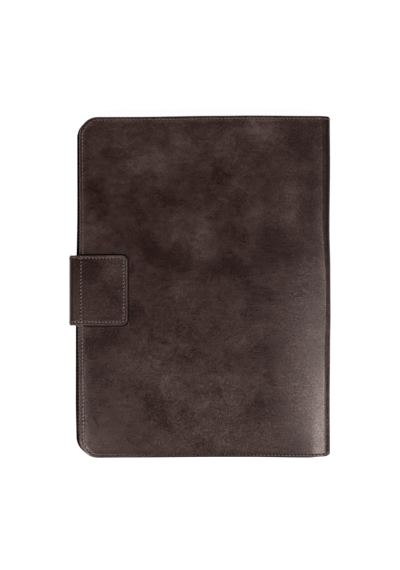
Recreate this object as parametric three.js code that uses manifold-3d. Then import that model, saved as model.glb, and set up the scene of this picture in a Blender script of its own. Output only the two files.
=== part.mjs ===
// Leather laptop folio, closed and lying on its front cover, so that its back cover faces up.
// Millimetres, +Z up. The spine is on the +X side and the fore-edge, with its strap, on the -X side.
// The origin is the bottom centre of the whole folio.

import * as THREE from 'three';
import { mergeVertices } from 'three/addons/utils/BufferGeometryUtils.js';
import Module from 'manifold-3d';

const wasm = await Module();
wasm.setup();

// Overall sizes
const HEIGHT = 330;
const COVER_WALL = 2.8;
const STRAP_WALL = 2.6;
const CORNER_RADIUS = 18;
const CLEARANCE = 0.3;

// Back cover: a low crown from the fore-edge to the start of the spine fold
const BACK_EDGE = new THREE.Vector2(-117, 25.4);
const BACK_CROWN_NEAR_EDGE = new THREE.Vector2(-20, 28.4);
const BACK_CROWN_NEAR_SPINE = new THREE.Vector2(90, 27.3);
const BACK_END = new THREE.Vector2(119.4, 23);

// Spine: two round folds with a short leaning wall between them
const FOLD_RADIUS = 8;
const SPINE_LEAN = 1.8;
const SPINE_EASE = 40;

// Front cover: flat on the ground near the spine, raised over the strap's end at the fore-edge
const FRONT_EDGE_X = -120.5;
const FRONT_INSET = 1;
const LIFT_START_X = -15;
const LIFT_FULL_X = -68;
const LIFT_FLANK = 55;
const LIFT_AT_CORNERS = 0.45;

// Strap: centre line in Y, sewn end on the back, plain end on the front
const STRAP_MIDDLE_Y = -3.7;
const STRAP_WIDTH = 67.6;
const STRAP_WAIST = 1.4;
const STRAP_WAIST_REACH = 40;
const STRAP_CORNER_RADIUS = 5.5;
const STRAP_SEWN_END_X = -70.3;
const STRAP_FREE_END_X = -74;
const STRAP_OUTERMOST_X = -126.3;
const STRAP_UPPER_BEND = 9.5;
const STRAP_LOWER_BEND = 5.5;
const STRAP_SEAT = 0.35;

// Press stud: cap under the strap, post through strap and cover, washer let into the cover's inner face
const SNAP_X = -92;
const SNAP_CAP_RADIUS = 7.5;
const SNAP_CAP_HEIGHT = 0.9;
const SNAP_CAP_BEVEL = 0.5;
const SNAP_POST_RADIUS = 2.5;
const SNAP_WASHER_RADIUS = 5.5;
const SNAP_WASHER_HEIGHT = 0.8;
const SNAP_SIDES = 24;

// Mesh steps
const LONG_STEP = 15;
const BEND_STEP = THREE.MathUtils.degToRad(15);
const CORNER_STEPS = 6;
const COVER_ROWS = 22;
const STRAP_ROWS = 8;
const TANGENT_REACH = 0.05;
const STATION_GAP = 0.1;
const CORNER_MARGIN = 1.1;
const BISECTIONS = 40;

// How far each edge lies inside the folio's outline, by place along it
const EDGE_DIPS = [
  { x: -99, top: 1.4, bottom: 0 },
  { x: -68, top: 1.4, bottom: 0.3 },
  { x: 19, top: 0.3, bottom: 0.8 },
  { x: 48, top: 0, bottom: 0.8 },
  { x: 106, top: 0.4, bottom: 0.1 },
  { x: 121, top: 0.4, bottom: 0.8 },
];
const SPINE_DIPS = [
  { y: -148, dip: 0.7 },
  { y: -114, dip: 0.9 },
  { y: -61, dip: 0.5 },
  { y: -27, dip: 0 },
  { y: 16, dip: 0.4 },
  { y: 55, dip: 1.2 },
  { y: 120, dip: 0.6 },
  { y: 163, dip: 0.9 },
];
const FRONT_EDGE_DIPS = [
  { y: -160, dip: 0.1 },
  { y: -110, dip: -0.5 },
  { y: -40, dip: -0.5 },
  { y: 20, dip: 0.3 },
  { y: 70, dip: 1 },
  { y: 150, dip: 0.9 },
];

// Value of a table's column at a place, eased from row to row and held past its ends
function readTable(table, key, column, place) {
  const next = table.findIndex((row) => row[key] >= place);
  if (next === 0) return table[0][column];
  if (next === -1) return table[table.length - 1][column];
  const before = table[next - 1];
  const after = table[next];
  const share = THREE.MathUtils.smoothstep(place, before[key], after[key]);
  return THREE.MathUtils.lerp(before[column], after[column], share);
}

// A path through points of the XZ section, measured by its length
function measured(path) {
  const length = path.getLength();
  const at = (s) => path.getPointAt(THREE.MathUtils.clamp(s / length, 0, 1));
  return { path, length, at };
}

// Stations along a path: even steps on the long stretches, fine ones on the bends and the end corners
function stationsOf({ path, length }, cornerRadius) {
  const stations = [];
  for (let k = 0; k <= CORNER_STEPS; k += 1) {
    const fromEnd = cornerRadius * (1 - Math.cos((k / CORNER_STEPS) * Math.PI / 2));
    stations.push(fromEnd, length - fromEnd);
  }
  let start = 0;
  for (const curve of path.curves) {
    const curveLength = curve.getLength();
    const turn = curve.isEllipseCurve ? Math.abs(curve.aEndAngle - curve.aStartAngle) : 0;
    const steps = Math.max(Math.ceil(curveLength / LONG_STEP), Math.ceil(turn / BEND_STEP));
    for (let k = 0; k <= steps; k += 1) {
      const s = start + (k / steps) * curveLength;
      const clearOfEnds = Math.min(s, length - s) > cornerRadius * CORNER_MARGIN;
      const clearOfOthers = stations.every((other) => Math.abs(other - s) > STATION_GAP);
      if (clearOfEnds && clearOfOthers) stations.push(s);
    }
    start += curveLength;
  }
  return stations.sort((a, b) => a - b);
}

// How far a round corner pulls the edge in, at a distance from the end of the sheet
function cornerInset(distance, radius) {
  const short = Math.max(radius - distance, 0);
  return radius - Math.sqrt(radius * radius - short * short);
}

// A closed leather sheet. outer(s, y) is its outer face, limits(s) the lowest and highest y of a station.
// The wall goes inwards, to the right of the path.
function leatherSheet({ stations, rows, wall, outer, limits }) {
  const positions = [];
  const innerPositions = [];
  for (const s of stations) {
    const [low, high] = limits(s);
    for (let j = 0; j <= rows; j += 1) {
      const y = THREE.MathUtils.lerp(low, high, j / rows);
      const face = outer(s, y);
      const tangent = outer(s + TANGENT_REACH, y).sub(outer(s - TANGENT_REACH, y)).normalize();
      positions.push(face.x, y, face.y);
      innerPositions.push(face.x + tangent.y * wall, y, face.y - tangent.x * wall);
    }
  }
  const across = rows + 1;
  const innerStart = stations.length * across;
  const outerAt = (i, j) => i * across + j;
  const innerAt = (i, j) => innerStart + outerAt(i, j);
  const index = [];
  const quad = (a, b, c, d) => index.push(a, b, c, a, c, d);
  const last = stations.length - 1;
  for (let i = 0; i < last; i += 1) {
    for (let j = 0; j < rows; j += 1) {
      quad(outerAt(i, j), outerAt(i + 1, j), outerAt(i + 1, j + 1), outerAt(i, j + 1));
      quad(innerAt(i, j), innerAt(i, j + 1), innerAt(i + 1, j + 1), innerAt(i + 1, j));
    }
    quad(outerAt(i, 0), innerAt(i, 0), innerAt(i + 1, 0), outerAt(i + 1, 0));
    quad(outerAt(i, rows), outerAt(i + 1, rows), innerAt(i + 1, rows), innerAt(i, rows));
  }
  for (let j = 0; j < rows; j += 1) {
    quad(outerAt(0, j), outerAt(0, j + 1), innerAt(0, j + 1), innerAt(0, j));
    quad(outerAt(last, j), innerAt(last, j), innerAt(last, j + 1), outerAt(last, j + 1));
  }
  const geometry = new THREE.BufferGeometry();
  geometry.setAttribute('position', new THREE.Float32BufferAttribute(positions.concat(innerPositions), 3));
  geometry.setIndex(index);
  return geometry;
}

// Height of the ground-side stack at the press stud: cap, strap, then the front cover's outer face
const STRAP_FREE_Z = SNAP_CAP_HEIGHT + CLEARANCE;
const FRONT_LIFT = STRAP_FREE_Z + STRAP_WALL + CLEARANCE;

// Section of the cover: back crown, upper fold, spine wall, lower fold and front
function coverSection() {
  const fall = Math.atan2(BACK_CROWN_NEAR_SPINE.y - BACK_END.y, BACK_END.x - BACK_CROWN_NEAR_SPINE.x);
  const upperX = BACK_END.x - FOLD_RADIUS * Math.sin(fall);
  const upperZ = BACK_END.y - FOLD_RADIUS * Math.cos(fall);
  const lowerX = upperX - SPINE_LEAN;
  const path = new THREE.Path();
  path.moveTo(BACK_EDGE.x, BACK_EDGE.y);
  path.bezierCurveTo(
    BACK_CROWN_NEAR_EDGE.x, BACK_CROWN_NEAR_EDGE.y,
    BACK_CROWN_NEAR_SPINE.x, BACK_CROWN_NEAR_SPINE.y,
    BACK_END.x, BACK_END.y,
  );
  path.absarc(upperX, upperZ, FOLD_RADIUS, Math.PI / 2 - fall, 0, true);
  path.lineTo(lowerX + FOLD_RADIUS, FOLD_RADIUS);
  path.absarc(lowerX, FOLD_RADIUS, FOLD_RADIUS, 0, -Math.PI / 2, true);
  path.lineTo(FRONT_EDGE_X, 0);
  return measured(path);
}

// Height of the back cover's outer face at a place across it
function backHeight(section, x) {
  const curve = section.path.curves[0];
  let low = 0;
  let high = 1;
  for (let k = 0; k < BISECTIONS; k += 1) {
    const middle = (low + high) / 2;
    if (curve.getPoint(middle).x < x) low = middle;
    else high = middle;
  }
  return curve.getPoint(low).y;
}

// How far the front cover is raised over the strap's end
function frontLift(x, y) {
  const across = THREE.MathUtils.smoothstep(-x, -LIFT_START_X, -LIFT_FULL_X);
  const past = Math.abs(y - STRAP_MIDDLE_Y) - STRAP_WIDTH / 2 - STRAP_CORNER_RADIUS;
  const along = 1 - (1 - LIFT_AT_CORNERS) * THREE.MathUtils.smoothstep(past, 0, LIFT_FLANK);
  return FRONT_LIFT * across * along;
}

function coverGeometry(section) {
  const spineStart = section.path.curves[0].getLength();
  const frontStart = section.length - section.path.curves.at(-1).getLength();
  const spineShare = (s) => THREE.MathUtils.smoothstep(s, spineStart - SPINE_EASE, spineStart)
    * (1 - THREE.MathUtils.smoothstep(s, frontStart, frontStart + SPINE_EASE));
  const frontShare = (s) => THREE.MathUtils.smoothstep(s, spineStart, section.length);

  const outer = (s, y) => {
    const point = section.at(s);
    point.x -= readTable(SPINE_DIPS, 'y', 'dip', y) * spineShare(s);
    point.x += readTable(FRONT_EDGE_DIPS, 'y', 'dip', y) * frontShare(s);
    if (s > frontStart) point.y += frontLift(point.x, y);
    return point;
  };
  const limits = (s) => {
    const x = section.at(s).x;
    const fromEnd = Math.min(s, section.length - s);
    const inset = cornerInset(fromEnd, CORNER_RADIUS)
      + FRONT_INSET * THREE.MathUtils.smoothstep(s, spineStart, frontStart);
    const low = -HEIGHT / 2 + readTable(EDGE_DIPS, 'x', 'bottom', x) + inset;
    const high = HEIGHT / 2 - readTable(EDGE_DIPS, 'x', 'top', x) - inset;
    return [low, high];
  };
  const stations = stationsOf(section, CORNER_RADIUS);
  return leatherSheet({ stations, rows: COVER_ROWS, wall: COVER_WALL, outer, limits });
}

// Section of the strap, from its free end under the front, round the fore-edge, to its sewn end on the back
function strapSection(cover) {
  const rise = STRAP_SEAT + STRAP_WALL;
  const upperX = STRAP_OUTERMOST_X + STRAP_UPPER_BEND;
  const upperZ = backHeight(cover, BACK_EDGE.x) + rise - STRAP_UPPER_BEND;
  const lowerX = STRAP_OUTERMOST_X + STRAP_LOWER_BEND;
  const lowerZ = STRAP_FREE_Z + STRAP_LOWER_BEND;
  const path = new THREE.Path();
  path.moveTo(STRAP_FREE_END_X, STRAP_FREE_Z);
  path.lineTo(lowerX, STRAP_FREE_Z);
  path.absarc(lowerX, lowerZ, STRAP_LOWER_BEND, -Math.PI / 2, -Math.PI, true);
  path.lineTo(STRAP_OUTERMOST_X, upperZ);
  path.absarc(upperX, upperZ, STRAP_UPPER_BEND, Math.PI, Math.PI / 2, true);
  path.lineTo(STRAP_SEWN_END_X, backHeight(cover, STRAP_SEWN_END_X) + rise);
  return measured(path);
}

function strapGeometry(cover) {
  const section = strapSection(cover);
  const limits = (s) => {
    const fromSewnEnd = section.length - s;
    const waist = STRAP_WAIST * THREE.MathUtils.smoothstep(fromSewnEnd, 0, STRAP_WAIST_REACH);
    const fromEnd = Math.min(s, fromSewnEnd);
    const half = (STRAP_WIDTH - waist) / 2 - cornerInset(fromEnd, STRAP_CORNER_RADIUS);
    return [STRAP_MIDDLE_Y - half, STRAP_MIDDLE_Y + half];
  };
  const stations = stationsOf(section, STRAP_CORNER_RADIUS);
  return leatherSheet({ stations, rows: STRAP_ROWS, wall: STRAP_WALL, outer: (s) => section.at(s), limits });
}

// Press stud turned about its upright axis. grown is the extra all round that its hole is cut with.
function snapGeometry(grown) {
  const capTop = SNAP_CAP_HEIGHT + grown;
  const washerTop = FRONT_LIFT + COVER_WALL + grown;
  const washerLow = FRONT_LIFT + COVER_WALL - SNAP_WASHER_HEIGHT - grown;
  const capRadius = SNAP_CAP_RADIUS + grown;
  const postRadius = SNAP_POST_RADIUS + grown;
  const washerRadius = SNAP_WASHER_RADIUS + grown;
  const outline = [
    [0, -grown],
    [capRadius - SNAP_CAP_BEVEL, -grown],
    [capRadius, SNAP_CAP_BEVEL],
    [capRadius, capTop],
    [postRadius, capTop],
    [postRadius, washerLow],
    [washerRadius, washerLow],
    [washerRadius, washerTop],
    [0, washerTop],
  ];
  const geometry = new THREE.LatheGeometry(outline.map(([r, z]) => new THREE.Vector2(r, z)), SNAP_SIDES);
  geometry.rotateX(Math.PI / 2);
  geometry.translate(SNAP_X, STRAP_MIDDLE_Y, 0);
  return geometry;
}

// Boolean cuts
function toSolid(geometry) {
  const bare = geometry.clone();
  bare.deleteAttribute('normal');
  bare.deleteAttribute('uv');
  const merged = mergeVertices(bare);
  const vertProperties = new Float32Array(merged.attributes.position.array);
  const triVerts = new Uint32Array(merged.index.array);
  return new wasm.Manifold(new wasm.Mesh({ numProp: 3, vertProperties, triVerts }));
}

function toGeometry(solid) {
  const mesh = solid.getMesh();
  const geometry = new THREE.BufferGeometry();
  geometry.setAttribute('position', new THREE.BufferAttribute(mesh.vertProperties, 3));
  geometry.setIndex(new THREE.BufferAttribute(mesh.triVerts, 1));
  return geometry;
}

function addPiece(group, name, geometry, material) {
  geometry.computeVertexNormals();
  const mesh = new THREE.Mesh(geometry, material);
  mesh.name = name;
  group.add(mesh);
}

// The folio
const leather = new THREE.MeshStandardMaterial({ color: 0x3f302d, roughness: 0.5, metalness: 0 });
const darkMetal = new THREE.MeshStandardMaterial({ color: 0x6b5a40, roughness: 0.35, metalness: 1 });

const section = coverSection();
const snapHole = toSolid(snapGeometry(CLEARANCE));
const cover = toGeometry(toSolid(coverGeometry(section)).subtract(snapHole));
const strap = toGeometry(toSolid(strapGeometry(section)).subtract(snapHole));
const snap = toGeometry(toSolid(snapGeometry(0)));

const folio = new THREE.Group();
addPiece(folio, 'cover', cover, leather);
addPiece(folio, 'closure_strap', strap, leather);
addPiece(folio, 'snap_fastener', snap, darkMetal);

export default folio;
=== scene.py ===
"""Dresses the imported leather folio: cover, strap, stitches and press stud, with its light, floor and camera.

Shapes are worked out in millimetres. A leather sheet is laid out flat first, as (s, y, h): s runs along its
folded section, y along the spine and h out of its outer face. A placing function then folds it into space.
"""
import math
from collections import namedtuple

import bpy
import numpy as np
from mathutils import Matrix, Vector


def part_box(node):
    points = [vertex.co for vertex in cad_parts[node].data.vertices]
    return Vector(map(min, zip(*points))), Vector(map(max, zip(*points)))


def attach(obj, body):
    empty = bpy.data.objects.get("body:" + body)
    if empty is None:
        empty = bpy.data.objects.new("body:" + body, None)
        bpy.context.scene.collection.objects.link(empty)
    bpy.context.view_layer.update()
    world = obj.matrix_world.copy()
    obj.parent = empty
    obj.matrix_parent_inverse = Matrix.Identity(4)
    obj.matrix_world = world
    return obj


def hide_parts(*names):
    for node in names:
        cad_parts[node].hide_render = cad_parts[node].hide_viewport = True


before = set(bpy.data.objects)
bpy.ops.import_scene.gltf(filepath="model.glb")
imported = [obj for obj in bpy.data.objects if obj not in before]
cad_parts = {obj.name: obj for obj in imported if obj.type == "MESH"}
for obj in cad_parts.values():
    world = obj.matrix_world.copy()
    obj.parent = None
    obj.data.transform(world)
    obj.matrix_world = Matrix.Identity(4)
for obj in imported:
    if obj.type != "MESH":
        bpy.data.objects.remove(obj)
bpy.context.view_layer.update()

MM = 0.001


def box_mm(node):
    low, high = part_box(node)
    return np.array(low) / MM, np.array(high) / MM


COVER_LOW, COVER_HIGH = box_mm("cover")
STRAP_LOW, STRAP_HIGH = box_mm("closure_strap")
SNAP_LOW, SNAP_HIGH = box_mm("snap_fastener")

# Cover sizes. A panel's tilt is in degrees, at a place in X or before the ridge
HEIGHT = COVER_HIGH[1] - COVER_LOW[1]
COVER_WALL = 2.8
CORNER_RADIUS = 18.0
BACK_EDGE = (-116.7, 25.4)
BackTilt = namedtuple("BackTilt", "x tilt")
BACK_TILTS = [BackTilt(-116.7, -2.2), BackTilt(-30.0, 0.0), BackTilt(50.0, 0.3)]
ShoulderTilt = namedtuple("ShoulderTilt", "before tilt")
SHOULDER_TILTS = [ShoulderTilt(46.0, 1.0), ShoulderTilt(20.0, 5.3), ShoulderTilt(12.0, 7.0)]
BROW = 6.0
Ridge = namedtuple("Ridge", "y x swell brow tilt radius")
RIDGE_STATIONS = [
    Ridge(-165.0, 119.6, 0.68, 13.0, 14.8, 13.0),
    Ridge(-140.0, 119.4, 0.9, 11.4, 13.4, 13.0),
    Ridge(-100.0, 119.1, 0.97, 9.0, 10.0, 11.0),
    Ridge(-55.0, 119.5, 0.98, 7.2, 7.8, 4.0),
    Ridge(-30.0, 120.4, 0.87, 6.0, 6.6, 3.0),
    Ridge(-2.0, 120.9, 0.68, 4.4, 5.8, 2.1),
    Ridge(30.0, 119.7, 0.26, 2.9, 5.9, 1.3),
    Ridge(75.0, 118.3, 0.15, 2.4, 6.0, 0.8),
    Ridge(110.0, 117.8, 0.2, 2.6, 6.0, 0.6),
]
MIDDLE_STATION = len(RIDGE_STATIONS) // 2
BAND_TILT = 31.0
UPPER_FOLD_RADIUS = 4.0
LOWER_FOLD_RADIUS = 8.0
SPINE_LEAN = 1.8
SPINE_EASE = 40.0
FRONT_EDGE_X = -120.5
FRONT_INSET = 1.0
LIFT_START_X = -15.0
LIFT_FULL_X = -68.0
LIFT_FLANK = 55.0
LIFT_AT_CORNERS = 0.45

# Strap sizes
STRAP_WALL = 2.6
STRAP_CORNER_RADIUS = 5.5
STRAP_WIDTH = STRAP_HIGH[1] - STRAP_LOW[1]
STRAP_MIDDLE_Y = (STRAP_HIGH[1] + STRAP_LOW[1]) / 2
STRAP_TOP_BOW = 0.2
STRAP_BOW_START = 14.0
STRAP_BOW_END = 46.0
STRAP_END_REACH = 0.45
STRAP_SEWN_END_X = STRAP_HIGH[0] + STRAP_END_REACH
STRAP_FREE_END_X = -74.0
STRAP_OUTERMOST_X = STRAP_LOW[0]
STRAP_FREE_Z = STRAP_LOW[2]
STRAP_BEND_RADIUS = 5.5
STRAP_BEND_SINK = 0.2
STRAP_SEAT = 0.35
FRONT_GAP = 0.3
FRONT_LIFT = STRAP_FREE_Z + STRAP_WALL + FRONT_GAP

# Seams: distances inside each edge, the edge's fall and rounding, and the dark backing that shows past it, a
# near-black flange that paints the strap's shadow on the cover
Seam = namedtuple(
    "Seam", "top bottom start start_lean finish corner fall round backing backing_low backing_from")
COVER_SEAM = Seam(
    top=2.9, bottom=2.3, start=3.4, start_lean=0.4, finish=2.75, corner=1.2,
    fall=0.45, round=0.9, backing=0.0, backing_low=0.0, backing_from=0.0)
STRAP_SEAM = Seam(
    top=2.75, bottom=3.0, start=3.5, start_lean=0.0, finish=3.6, corner=0.0,
    fall=0.25, round=0.6, backing=0.7, backing_low=0.4, backing_from=80.0)
SHADOW_BACKING_EASE = 4.0
SEAM_DEPTH = 0.3
SEAM_WIDTH = 0.7
NEEDLE_DEPTH = 0.22
NEEDLE_WIDTH = 0.4
FLANGE_START = 1.2
FLANGE_POWER = 1.5
Stitch = namedtuple("Stitch", "pitch radius share low_share slant")
COVER_STITCH = Stitch(pitch=3.5, radius=0.38, share=0.95, low_share=0.8, slant=0.46)
STRAP_STITCH = Stitch(pitch=3.35, radius=0.38, share=0.72, low_share=0.72, slant=0.6)
LOW_STITCH_Y = (-60.0, 20.0)

# How far each edge lies inside the folio's outline, by place along it
EndDip = namedtuple("EndDip", "x top bottom")
END_DIPS = [EndDip(*row) for row in (
    (-99.0, 1.4, -0.15), (-68.0, 1.4, 0.1), (19.0, 0.3, 0.65), (48.0, 0.0, 0.65),
    (106.0, 0.4, 0.0), (117.5, 0.4, 0.8), (122.0, 0.4, 0.9), (126.3, 0.7, 2.2),
)]
SideDip = namedtuple("SideDip", "y dip")
SPINE_DIPS = [SideDip(*row) for row in (
    (-148.0, 0.5), (-114.0, 0.7), (-61.0, 0.35), (-27.0, 0.0),
    (16.0, 0.25), (55.0, 1.0), (120.0, 0.4), (163.0, 0.7),
)]
FRONT_EDGE_DIPS = [SideDip(*row) for row in (
    (-160.0, 0.1), (-110.0, -0.7), (-40.0, -0.5), (20.0, 0.2), (70.0, 0.8), (150.0, 0.7),
)]
BACK_EDGE_DIPS = [SideDip(*row) for row in (
    (-150.0, 0.4), (-119.0, 0.3), (-85.0, 0.0), (-53.0, -0.5), (0.0, 0.0), (64.0, 0.7), (132.0, 0.3),
)]
BACK_EDGE_EASE = 12.0


def smoothstep(value, low, high):
    share = np.clip((value - low) / (high - low), 0.0, 1.0)
    return share * share * (3.0 - 2.0 * share)


def read_table(table, key, column, places):
    """Values of a table's column, eased from row to row and held past its ends."""
    keys = np.array([getattr(row, key) for row in table])
    values = np.array([getattr(row, column) for row in table])
    after = np.clip(np.searchsorted(keys, places), 1, len(keys) - 1)
    before = after - 1
    share = smoothstep(places, keys[before], keys[after])
    return values[before] + (values[after] - values[before]) * share


def bump_at(value, centre, width):
    return np.exp(-(((value - centre) / width) ** 2))


def pairs(first, second):
    return np.stack(np.broadcast_arrays(first, second), axis=-1)


def full_turn(steps):
    return np.linspace(0.0, 2 * math.pi, steps, endpoint=False)


# Sections in the XZ plane
SECTION_STEPS = 240
SECTION_MARGIN = 3.0
SEARCH_STEPS = 4000
SAME_POINT = 1e-6
NORMAL_REACH = 0.5


def arc(centre, radius, start, end):
    angle = np.linspace(start, end, SECTION_STEPS)
    return pairs(centre[0] + radius * np.cos(angle), centre[1] + radius * np.sin(angle))


class Section:
    """A sheet's outer face in the XZ plane, measured by length, and straight on past its ends.

    The outside is to the left of its way.
    """

    def __init__(self, *stretches):
        points = np.concatenate(stretches)
        steps = np.linalg.norm(np.diff(points, axis=0), axis=1)
        points = points[np.concatenate([[True], steps > SAME_POINT])]
        steps = np.linalg.norm(np.diff(points, axis=0), axis=1)
        self.length = steps.sum()
        before = points[0] - (points[1] - points[0]) / steps[0] * SECTION_MARGIN
        after = points[-1] + (points[-1] - points[-2]) / steps[-1] * SECTION_MARGIN
        past_end = self.length + SECTION_MARGIN
        self.points = np.concatenate([[before], points, [after]])
        self.marks = np.concatenate([[-SECTION_MARGIN, 0.0], np.cumsum(steps), [past_end]])

    def point(self, s):
        return np.interp(s, self.marks, self.points[:, 0]), np.interp(s, self.marks, self.points[:, 1])

    def point_and_normal(self, s):
        x0, z0 = self.point(s - NORMAL_REACH)
        x1, z1 = self.point(s + NORMAL_REACH)
        size = np.hypot(x1 - x0, z1 - z0)
        return *self.point(s), -(z1 - z0) / size, (x1 - x0) / size

    def where_x(self, x, first, last):
        """Length at which the stretch between two lengths crosses a place in X."""
        s = np.linspace(first, last, SEARCH_STEPS)
        return s[np.argmin(np.abs(self.point(s)[0] - x))]


def back_profile(station):
    """The back panel's outer face, from the fore-edge to the ridge before the spine."""
    x = np.linspace(BACK_EDGE[0], station.x, SECTION_STEPS)
    tilt_x = [row.x for row in BACK_TILTS] + [station.x - row.before for row in SHOULDER_TILTS]
    tilt_x += [station.x - BROW, station.x]
    tilts = [row.tilt for row in BACK_TILTS] + [row.tilt * station.swell for row in SHOULDER_TILTS]
    tilts += [station.brow, station.tilt]
    slope = np.tan(np.radians(np.interp(x, tilt_x, tilts)))
    drops = (slope[1:] + slope[:-1]) / 2 * np.diff(x)
    return pairs(x, BACK_EDGE[1] - np.concatenate([[0.0], np.cumsum(drops)]))


def cover_section(station):
    """Back panel that falls to a ridge, the spine's band and two folds, and the front panel."""
    back = back_profile(station)
    radius = station.radius
    ridge, band = math.radians(station.tilt), math.radians(BAND_TILT)
    ridge_middle = (back[-1, 0] - radius * math.sin(ridge), back[-1, 1] - radius * math.cos(ridge))
    ridge_fold = arc(ridge_middle, radius, math.pi / 2 - ridge, math.pi / 2 - band)
    fold_x = COVER_HIGH[0] - UPPER_FOLD_RADIUS * (1 - math.sin(band))
    fold_z = ridge_fold[-1, 1] - (fold_x - ridge_fold[-1, 0]) * math.tan(band)
    upper = (COVER_HIGH[0] - UPPER_FOLD_RADIUS, fold_z - UPPER_FOLD_RADIUS * math.cos(band))
    upper_fold = arc(upper, UPPER_FOLD_RADIUS, math.pi / 2 - band, 0.0)
    lower = (COVER_HIGH[0] - SPINE_LEAN - LOWER_FOLD_RADIUS, LOWER_FOLD_RADIUS)
    lower_fold = arc(lower, LOWER_FOLD_RADIUS, 0.0, -math.pi / 2)
    return Section(back, ridge_fold, upper_fold, lower_fold, [(FRONT_EDGE_X, 0.0)])


def strap_section(cover):
    """Free end under the front panel, two bends round the fore-edge, and the end sewn on the back panel."""
    rise = STRAP_SEAT + STRAP_WALL
    bend_x = STRAP_OUTERMOST_X + STRAP_BEND_RADIUS
    upper = (bend_x, BACK_EDGE[1] + rise - STRAP_BEND_RADIUS - STRAP_BEND_SINK)
    lower = (bend_x, STRAP_FREE_Z + STRAP_BEND_RADIUS)
    sewn_s = cover.where_x(STRAP_SEWN_END_X, 0.0, cover.length / 3)
    sewn_z = float(cover.point(sewn_s)[1]) + rise
    lower_bend = arc(lower, STRAP_BEND_RADIUS, -math.pi / 2, -math.pi)
    upper_bend = arc(upper, STRAP_BEND_RADIUS, math.pi, math.pi / 2)
    return Section([(STRAP_FREE_END_X, STRAP_FREE_Z)], lower_bend, upper_bend, [(STRAP_SEWN_END_X, sewn_z)])


COVER_SECTIONS = [cover_section(station) for station in RIDGE_STATIONS]
COVER = COVER_SECTIONS[MIDDLE_STATION]
STRAP = strap_section(COVER)
SPINE_START = COVER.where_x(RIDGE_STATIONS[MIDDLE_STATION].x, 0.0, COVER.length / 2)
FRONT_START = COVER.length - (COVER_HIGH[0] - SPINE_LEAN - LOWER_FOLD_RADIUS - FRONT_EDGE_X)

# Small waves of the ridge along the spine
RidgeWave = namedtuple("RidgeWave", "length phase")
RIDGE_WAVES = [RidgeWave(5.3, 0.4), RidgeWave(8.9, 2.0), RidgeWave(3.1, 1.1)]
RIDGE_WAVE_HEIGHT = 0.6
RIDGE_WAVE_REACH = 6.0


# Placing functions: flat (s, y, h) to space
def front_lift(x, y):
    across = smoothstep(-x, -LIFT_START_X, -LIFT_FULL_X)
    past = np.abs(y - STRAP_MIDDLE_Y) - STRAP_WIDTH / 2 - STRAP_CORNER_RADIUS
    along = 1 - (1 - LIFT_AT_CORNERS) * smoothstep(past, 0.0, LIFT_FLANK)
    return FRONT_LIFT * across * along


def cover_point_and_normal(s, y):
    """Point and normal of the cover's section, eased between the stations along the spine."""
    stations = [row.y for row in RIDGE_STATIONS]
    rows = [
        np.stack(section.point_and_normal(s * section.length / COVER.length)) for section in COVER_SECTIONS]
    eased = rows[0]
    for low, high, following in zip(stations, stations[1:], rows[1:]):
        eased = eased + (following - eased) * smoothstep(y, low, high)
    return eased


def place_cover(s, y, h):
    waves = sum(np.sin(y / wave.length + wave.phase) for wave in RIDGE_WAVES)
    ripple = RIDGE_WAVE_HEIGHT * waves / len(RIDGE_WAVES) * bump_at(s, SPINE_START, RIDGE_WAVE_REACH)
    x, z, nx, nz = cover_point_and_normal(s + ripple, y)
    inset = FRONT_INSET * smoothstep(s, SPINE_START, FRONT_START)
    dip = np.where(y > 0, read_table(END_DIPS, "x", "top", x), read_table(END_DIPS, "x", "bottom", x))
    y = y * (1 - (dip + inset) / (HEIGHT / 2))
    spine_share = smoothstep(s, SPINE_START - SPINE_EASE, SPINE_START)
    spine_share = spine_share * (1 - smoothstep(s, FRONT_START, FRONT_START + SPINE_EASE))
    x = x - read_table(SPINE_DIPS, "y", "dip", y) * spine_share
    x = x + read_table(FRONT_EDGE_DIPS, "y", "dip", y) * smoothstep(s, SPINE_START, COVER.length)
    x = x + read_table(BACK_EDGE_DIPS, "y", "dip", y) * (1 - smoothstep(s, 0.0, BACK_EDGE_EASE))
    z = z + np.where(s > FRONT_START, front_lift(x, y), 0.0)
    return np.stack([x + nx * h, y, z + nz * h], axis=-1) * MM


def place_strap(s, y, h):
    x, z, nx, nz = STRAP.point_and_normal(s)
    near_end = 1 - smoothstep(STRAP.length - s, STRAP_BOW_START, STRAP_BOW_END)
    bow = STRAP_TOP_BOW * near_end * (1 + y / (STRAP_WIDTH / 2)) / 2
    y = STRAP_MIDDLE_Y + y + bow
    return np.stack([x + nx * h, y, z + nz * h], axis=-1) * MM


# Flat sheets with round corners. Rings lie at these distances inside the edge
CORNER_STEPS = 6
FINE_STEPS = 4
# From dark_edge_from on, the edge within DARK_EDGE takes the near-black material 1, as painted shade on the
# front panel's edge under the back panel
DARK_EDGE = 1.0
SHADOW_BACKING_STEP = 0.4
OUTER_RINGS = (
    8.0, 6.6, 5.8, 5.3, 4.95, 4.6, 4.3, 4.0, 3.65, 3.3, 2.95, 2.6, 2.2, 1.7, 1.2, 0.75, 0.4, 0.15, 0.0)
INNER_RINGS = (0.15, 0.45, 0.9, 1.6, 2.4, 3.0, 3.6, 4.8, 8.0)
Ring = namedtuple("Ring", "points rim seam_gap dark")
Sheet = namedtuple("Sheet", "section height radius inset seam wall stitch panel place")


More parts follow.
